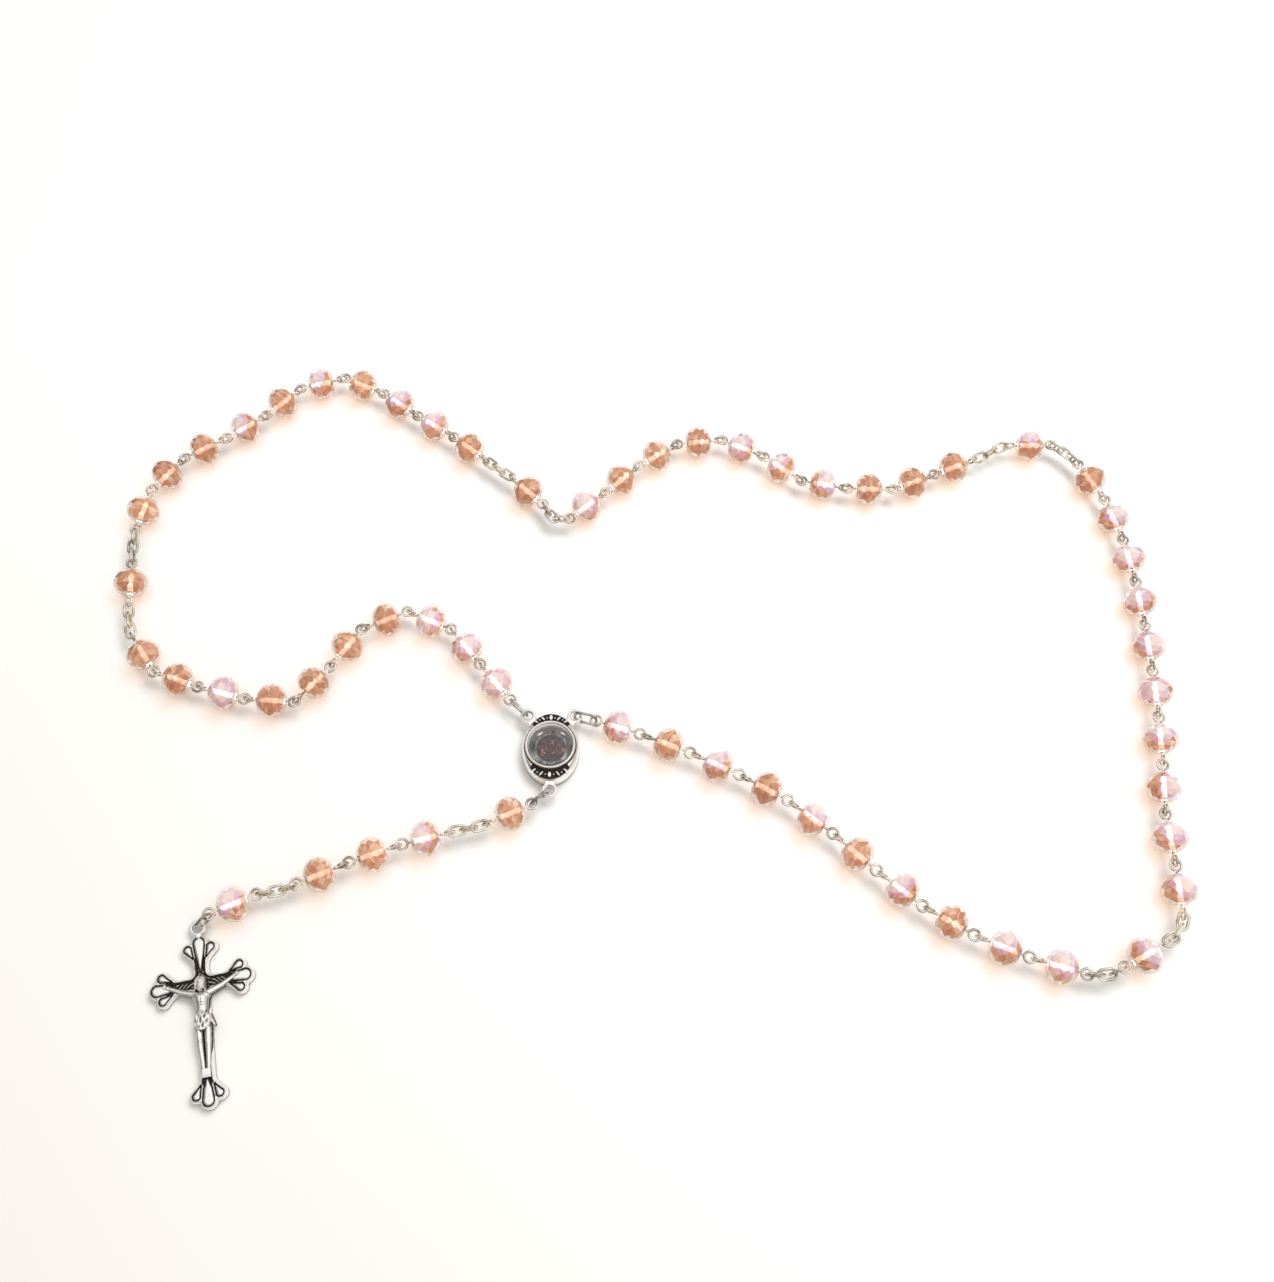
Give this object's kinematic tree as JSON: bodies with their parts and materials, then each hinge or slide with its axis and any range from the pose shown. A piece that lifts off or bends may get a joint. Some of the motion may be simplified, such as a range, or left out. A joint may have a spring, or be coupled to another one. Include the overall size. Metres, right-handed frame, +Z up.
{
  "type": "rosary",
  "caption": "Rosary laid flat: faceted crystal beads on eye pins, short cable chain, an oval centrepiece with a domed window, and a crucifix with budded ends.",
  "frame": {"origin": "middle of the centrepiece's flat back, on the surface that the rosary lies on", "axes": "+Z up from that surface, +X to the right along the loop's length, the crucifix lies toward -X and -Y"},
  "size_m": [0.2501, 0.1809, 0.008],
  "materials": {
    "bead_crystal": "faceted peach crystal with a pale rainbow coating",
    "silver_wire": "polished silver-tone wire",
    "antiqued_silver": "silver-tone casting with dark recesses",
    "clear_window": "polished clear dome",
    "soil": "dark earth with tan grains"
  },
  "bodies": {
    "centrepiece": {"centre_case": "antiqued_silver", "centre_lens": "clear_window", "soil_fill": "soil"},
    "left_link": {"left_link": "silver_wire"},
    "decade_1_start": {"decade_1_start_pins": "silver_wire", "decade_1_start_beads": "bead_crystal"},
    "decade_1_middle": {"decade_1_middle_pins": "silver_wire", "decade_1_middle_beads": "bead_crystal"},
    "decade_1_end": {"decade_1_end_pins": "silver_wire", "decade_1_end_beads": "bead_crystal"},
    "decade_2_start": {"decade_2_start_pins": "silver_wire", "decade_2_start_beads": "bead_crystal"},
    "decade_2_middle": {"decade_2_middle_pins": "silver_wire", "decade_2_middle_beads": "bead_crystal"},
    "decade_2_end": {"decade_2_end_pins": "silver_wire", "decade_2_end_beads": "bead_crystal"},
    "decade_3_start": {"decade_3_start_pins": "silver_wire", "decade_3_start_beads": "bead_crystal"},
    "decade_3_middle": {"decade_3_middle_pins": "silver_wire", "decade_3_middle_beads": "bead_crystal"},
    "decade_3_end": {"decade_3_end_pins": "silver_wire", "decade_3_end_beads": "bead_crystal"},
    "decade_4_start": {"decade_4_start_pins": "silver_wire", "decade_4_start_beads": "bead_crystal"},
    "decade_4_middle": {"decade_4_middle_pins": "silver_wire", "decade_4_middle_beads": "bead_crystal"},
    "decade_4_end": {"decade_4_end_pins": "silver_wire", "decade_4_end_beads": "bead_crystal"},
    "decade_5_start": {"decade_5_start_pins": "silver_wire", "decade_5_start_beads": "bead_crystal"},
    "decade_5_middle": {"decade_5_middle_pins": "silver_wire", "decade_5_middle_beads": "bead_crystal"},
    "decade_5_end": {"decade_5_end_pins": "silver_wire", "decade_5_end_beads": "bead_crystal", "right_link": "silver_wire"},
    "chain_1": {"chain_1": "silver_wire"},
    "single_pin_1": {"single_pin_1": "silver_wire"},
    "single_bead_1": {"single_bead_1": "bead_crystal"},
    "chain_2": {"chain_2": "silver_wire"},
    "single_pin_2": {"single_pin_2": "silver_wire"},
    "single_bead_2": {"single_bead_2": "bead_crystal"},
    "chain_3": {"chain_3": "silver_wire"},
    "single_pin_3": {"single_pin_3": "silver_wire"},
    "single_bead_3": {"single_bead_3": "bead_crystal"},
    "chain_4": {"chain_4": "silver_wire"},
    "single_pin_4": {"single_pin_4": "silver_wire"},
    "single_bead_4": {"single_bead_4": "bead_crystal"},
    "lower_link": {"lower_link": "silver_wire"},
    "first_pin": {"first_pin": "silver_wire"},
    "first_bead": {"first_bead": "bead_crystal"},
    "pendant_chain_1": {"pendant_chain_1": "silver_wire"},
    "pendant_chain_2": {"pendant_chain_2": "silver_wire"},
    "last_pin": {"last_pin": "silver_wire"},
    "last_bead": {"last_bead": "bead_crystal"},
    "jump_ring": {"jump_ring": "silver_wire"},
    "crucifix": {"crucifix": "antiqued_silver"},
    "three_beads": {"three_pins": "silver_wire", "three_beads": "bead_crystal"}
  },
  "joints": [
    {"name": "left_link_sway", "type": "hinge", "parent": "centrepiece", "child": "left_link", "pos_m": [-0.0054, 0.0074, 0.0031], "axis": [0, 0, 1], "range_deg": [-1.15, 1.15]},
    {"name": "decade_1_start_sway", "type": "hinge", "parent": "left_link", "child": "decade_1_start", "pos_m": [-0.00959, 0.01112, 0.004], "axis": [0, 0, 1], "range_deg": [-1.93, 1.93]},
    {"name": "decade_1_middle_sway", "type": "hinge", "parent": "decade_1_start", "child": "decade_1_middle", "pos_m": [-0.03487, 0.03361, 0.004], "axis": [0, 0, 1], "range_deg": [-1.94, 1.94]},
    {"name": "decade_1_end_sway", "type": "hinge", "parent": "decade_1_middle", "child": "decade_1_end", "pos_m": [-0.07094, 0.01133, 0.004], "axis": [0, 0, 1], "range_deg": [-4.43, 4.43]},
    {"name": "chain_1_sway", "type": "hinge", "parent": "decade_1_end", "child": "chain_1", "pos_m": [-0.09978, 0.02778, 0.004], "axis": [0, 0, 1], "range_deg": [-13.7, 13.7]},
    {"name": "single_pin_1_sway", "type": "hinge", "parent": "chain_1", "child": "single_pin_1", "pos_m": [-0.10144, 0.03488, 0.004], "axis": [0, 0, 1], "range_deg": [-11.04, 11.04]},
    {"name": "decade_2_start_sway", "type": "hinge", "parent": "single_pin_1", "child": "decade_2_start", "pos_m": [-0.10315, 0.05591, 0.004], "axis": [0, 0, 1], "range_deg": [-0.94, 0.94]},
    {"name": "decade_2_middle_sway", "type": "hinge", "parent": "decade_2_start", "child": "decade_2_middle", "pos_m": [-0.08419, 0.08223, 0.004], "axis": [0, 0, 1], "range_deg": [-1.68, 1.68]},
    {"name": "decade_2_end_sway", "type": "hinge", "parent": "decade_2_middle", "child": "decade_2_end", "pos_m": [-0.04551, 0.09573, 0.004], "axis": [0, 0, 1], "range_deg": [-3.5, 3.5]},
    {"name": "chain_2_sway", "type": "hinge", "parent": "decade_2_end", "child": "chain_2", "pos_m": [-0.01766, 0.07527, 0.004], "axis": [0, 0, 1], "range_deg": [-10, 10]},
    {"name": "single_pin_2_sway", "type": "hinge", "parent": "chain_2", "child": "single_pin_2", "pos_m": [-0.012, 0.071, 0.004], "axis": [0, 0, 1], "range_deg": [-11.43, 11.43]},
    {"name": "decade_5_end_sway", "type": "hinge", "parent": "centrepiece", "child": "decade_5_end", "pos_m": [0.0054, 0.0074, 0.0031], "axis": [0, 0, 1], "range_deg": [-0.67, 0.67]},
    {"name": "decade_5_middle_sway", "type": "hinge", "parent": "decade_5_end", "child": "decade_5_middle", "pos_m": [0.04279, -0.00698, 0.004], "axis": [0, 0, 1], "range_deg": [-1.39, 1.39]},
    {"name": "decade_5_start_sway", "type": "hinge", "parent": "decade_5_middle", "child": "decade_5_start", "pos_m": [0.08134, -0.03662, 0.004], "axis": [0, 0, 1], "range_deg": [-1.15, 1.15]},
    {"name": "single_pin_4_sway", "type": "hinge", "parent": "decade_5_start", "child": "single_pin_4", "pos_m": [0.11476, -0.0511, 0.004], "axis": [0, 0, 1], "range_deg": [-5.44, 5.44]},
    {"name": "chain_4_sway", "type": "hinge", "parent": "single_pin_4", "child": "chain_4", "pos_m": [0.13298, -0.04427, 0.004], "axis": [0, 0, 1], "range_deg": [-13.7, 13.7]},
    {"name": "decade_4_end_sway", "type": "hinge", "parent": "chain_4", "child": "decade_4_end", "pos_m": [0.1372, -0.03913, 0.004], "axis": [0, 0, 1], "range_deg": [-9.13, 9.13]},
    {"name": "decade_4_middle_sway", "type": "hinge", "parent": "decade_4_end", "child": "decade_4_middle", "pos_m": [0.13842, -0.00466, 0.004], "axis": [0, 0, 1], "range_deg": [-1.45, 1.45]},
    {"name": "decade_4_start_sway", "type": "hinge", "parent": "decade_4_middle", "child": "decade_4_start", "pos_m": [0.13967, 0.04152, 0.004], "axis": [0, 0, 1], "range_deg": [-4.45, 4.45]},
    {"name": "single_pin_3_sway", "type": "hinge", "parent": "decade_4_start", "child": "single_pin_3", "pos_m": [0.13038, 0.07455, 0.004], "axis": [0, 0, 1], "range_deg": [-2.55, 2.55]},
    {"name": "chain_3_sway", "type": "hinge", "parent": "single_pin_3", "child": "chain_3", "pos_m": [0.11214, 0.07982, 0.004], "axis": [0, 0, 1], "range_deg": [-11.51, 11.51]},
    {"name": "decade_3_end_sway", "type": "hinge", "parent": "chain_3", "child": "decade_3_end", "pos_m": [0.10526, 0.07615, 0.004], "axis": [0, 0, 1], "range_deg": [-13.7, 13.7]},
    {"name": "decade_3_middle_sway", "type": "hinge", "parent": "decade_3_end", "child": "decade_3_middle", "pos_m": [0.07201, 0.06745, 0.004], "axis": [0, 0, 1], "range_deg": [-2.75, 2.75]},
    {"name": "decade_3_start_sway", "type": "hinge", "parent": "decade_3_middle", "child": "decade_3_start", "pos_m": [0.02988, 0.08044, 0.004], "axis": [0, 0, 1], "range_deg": [-0.72, 0.72]},
    {"name": "lower_link_swing", "type": "hinge", "parent": "centrepiece", "child": "lower_link", "pos_m": [0, -0.0103, 0.0031], "axis": [0, 0, 1], "range_deg": [-15, 15]},
    {"name": "first_pin_swing", "type": "hinge", "parent": "lower_link", "child": "first_pin", "pos_m": [-0.00374, -0.01381, 0.004], "axis": [0, 0, -1], "range_deg": [-25, 25]},
    {"name": "pendant_chain_1_swing", "type": "hinge", "parent": "first_pin", "child": "pendant_chain_1", "pos_m": [-0.01416, -0.01866, 0.004], "axis": [0, 0, 1], "range_deg": [-25, 25]},
    {"name": "three_beads_swing", "type": "hinge", "parent": "pendant_chain_1", "child": "three_beads", "pos_m": [-0.02089, -0.02017, 0.004], "axis": [0, 0, -1], "range_deg": [-25, 25]},
    {"name": "pendant_chain_2_swing", "type": "hinge", "parent": "three_beads", "child": "pendant_chain_2", "pos_m": [-0.05441, -0.03184, 0.004], "axis": [0, 0, 1], "range_deg": [-25, 25]},
    {"name": "last_pin_swing", "type": "hinge", "parent": "pendant_chain_2", "child": "last_pin", "pos_m": [-0.06274, -0.0341, 0.004], "axis": [0, 0, -1], "range_deg": [-25, 25]},
    {"name": "jump_ring_swing", "type": "hinge", "parent": "last_pin", "child": "jump_ring", "pos_m": [-0.07244, -0.03837, 0.004], "axis": [0, 0, 1], "range_deg": [-20, 20]},
    {"name": "crucifix_swing", "type": "hinge", "parent": "jump_ring", "child": "crucifix", "pos_m": [-0.07513, -0.04093, 0.00193], "axis": [0, 0, -1], "range_deg": [-30, 30]},
    {"name": "single_bead_1_spin", "type": "hinge", "parent": "single_pin_1", "child": "single_bead_1", "pos_m": [-0.10205, 0.0413, 0.004], "axis": [-0.0943, 0.9955, 0], "continuous": true},
    {"name": "single_bead_2_spin", "type": "hinge", "parent": "single_pin_2", "child": "single_bead_2", "pos_m": [-0.00741, 0.06666, 0.004], "axis": [0.7258, -0.6879, 0], "continuous": true},
    {"name": "single_bead_3_spin", "type": "hinge", "parent": "single_pin_3", "child": "single_bead_3", "pos_m": [0.11891, 0.08004, 0.004], "axis": [0.9995, 0.0326, 0], "continuous": true},
    {"name": "single_bead_4_spin", "type": "hinge", "parent": "single_pin_4", "child": "single_bead_4", "pos_m": [0.12759, -0.04719, 0.004], "axis": [-0.8789, -0.477, 0], "continuous": true},
    {"name": "first_bead_spin", "type": "hinge", "parent": "first_pin", "child": "first_bead", "pos_m": [-0.00855, -0.01605, 0.004], "axis": [-0.9066, -0.422, 0], "continuous": true},
    {"name": "last_bead_spin", "type": "hinge", "parent": "last_pin", "child": "last_bead", "pos_m": [-0.06759, -0.03623, 0.004], "axis": [-0.9153, -0.4028, 0], "continuous": true}
  ],
  "couplings": [
    {"joint": "decade_1_start_sway", "follows": "left_link_sway", "ratio": -1.1092},
    {"joint": "decade_1_middle_sway", "follows": "left_link_sway", "ratio": 1.116},
    {"joint": "decade_1_end_sway", "follows": "left_link_sway", "ratio": -2.7151},
    {"joint": "chain_1_sway", "follows": "left_link_sway", "ratio": 8.6682},
    {"joint": "single_pin_1_sway", "follows": "left_link_sway", "ratio": -6.9599},
    {"joint": "decade_2_start_sway", "follows": "chain_2_sway", "ratio": -0.055038},
    {"joint": "decade_2_middle_sway", "follows": "chain_2_sway", "ratio": 0.10944},
    {"joint": "decade_2_end_sway", "follows": "chain_2_sway", "ratio": -0.24469},
    {"joint": "single_pin_2_sway", "follows": "chain_2_sway", "ratio": -0.83177},
    {"joint": "decade_5_middle_sway", "follows": "decade_5_end_sway", "ratio": -1.3063},
    {"joint": "decade_5_start_sway", "follows": "decade_5_end_sway", "ratio": 1.0403},
    {"joint": "single_pin_4_sway", "follows": "decade_5_end_sway", "ratio": -5.7586},
    {"joint": "chain_4_sway", "follows": "decade_5_end_sway", "ratio": 14.84},
    {"joint": "decade_4_end_sway", "follows": "decade_5_end_sway", "ratio": -9.8161},
    {"joint": "decade_4_start_sway", "follows": "decade_4_middle_sway", "ratio": -2.1649},
    {"joint": "single_pin_3_sway", "follows": "decade_4_middle_sway", "ratio": 1.1962},
    {"joint": "chain_3_sway", "follows": "decade_4_middle_sway", "ratio": 5.7656},
    {"joint": "decade_3_end_sway", "follows": "decade_4_middle_sway", "ratio": -6.8807},
    {"joint": "decade_3_middle_sway", "follows": "decade_4_middle_sway", "ratio": 1.2996},
    {"joint": "decade_3_start_sway", "follows": "decade_4_middle_sway", "ratio": -0.26684}
  ]
}
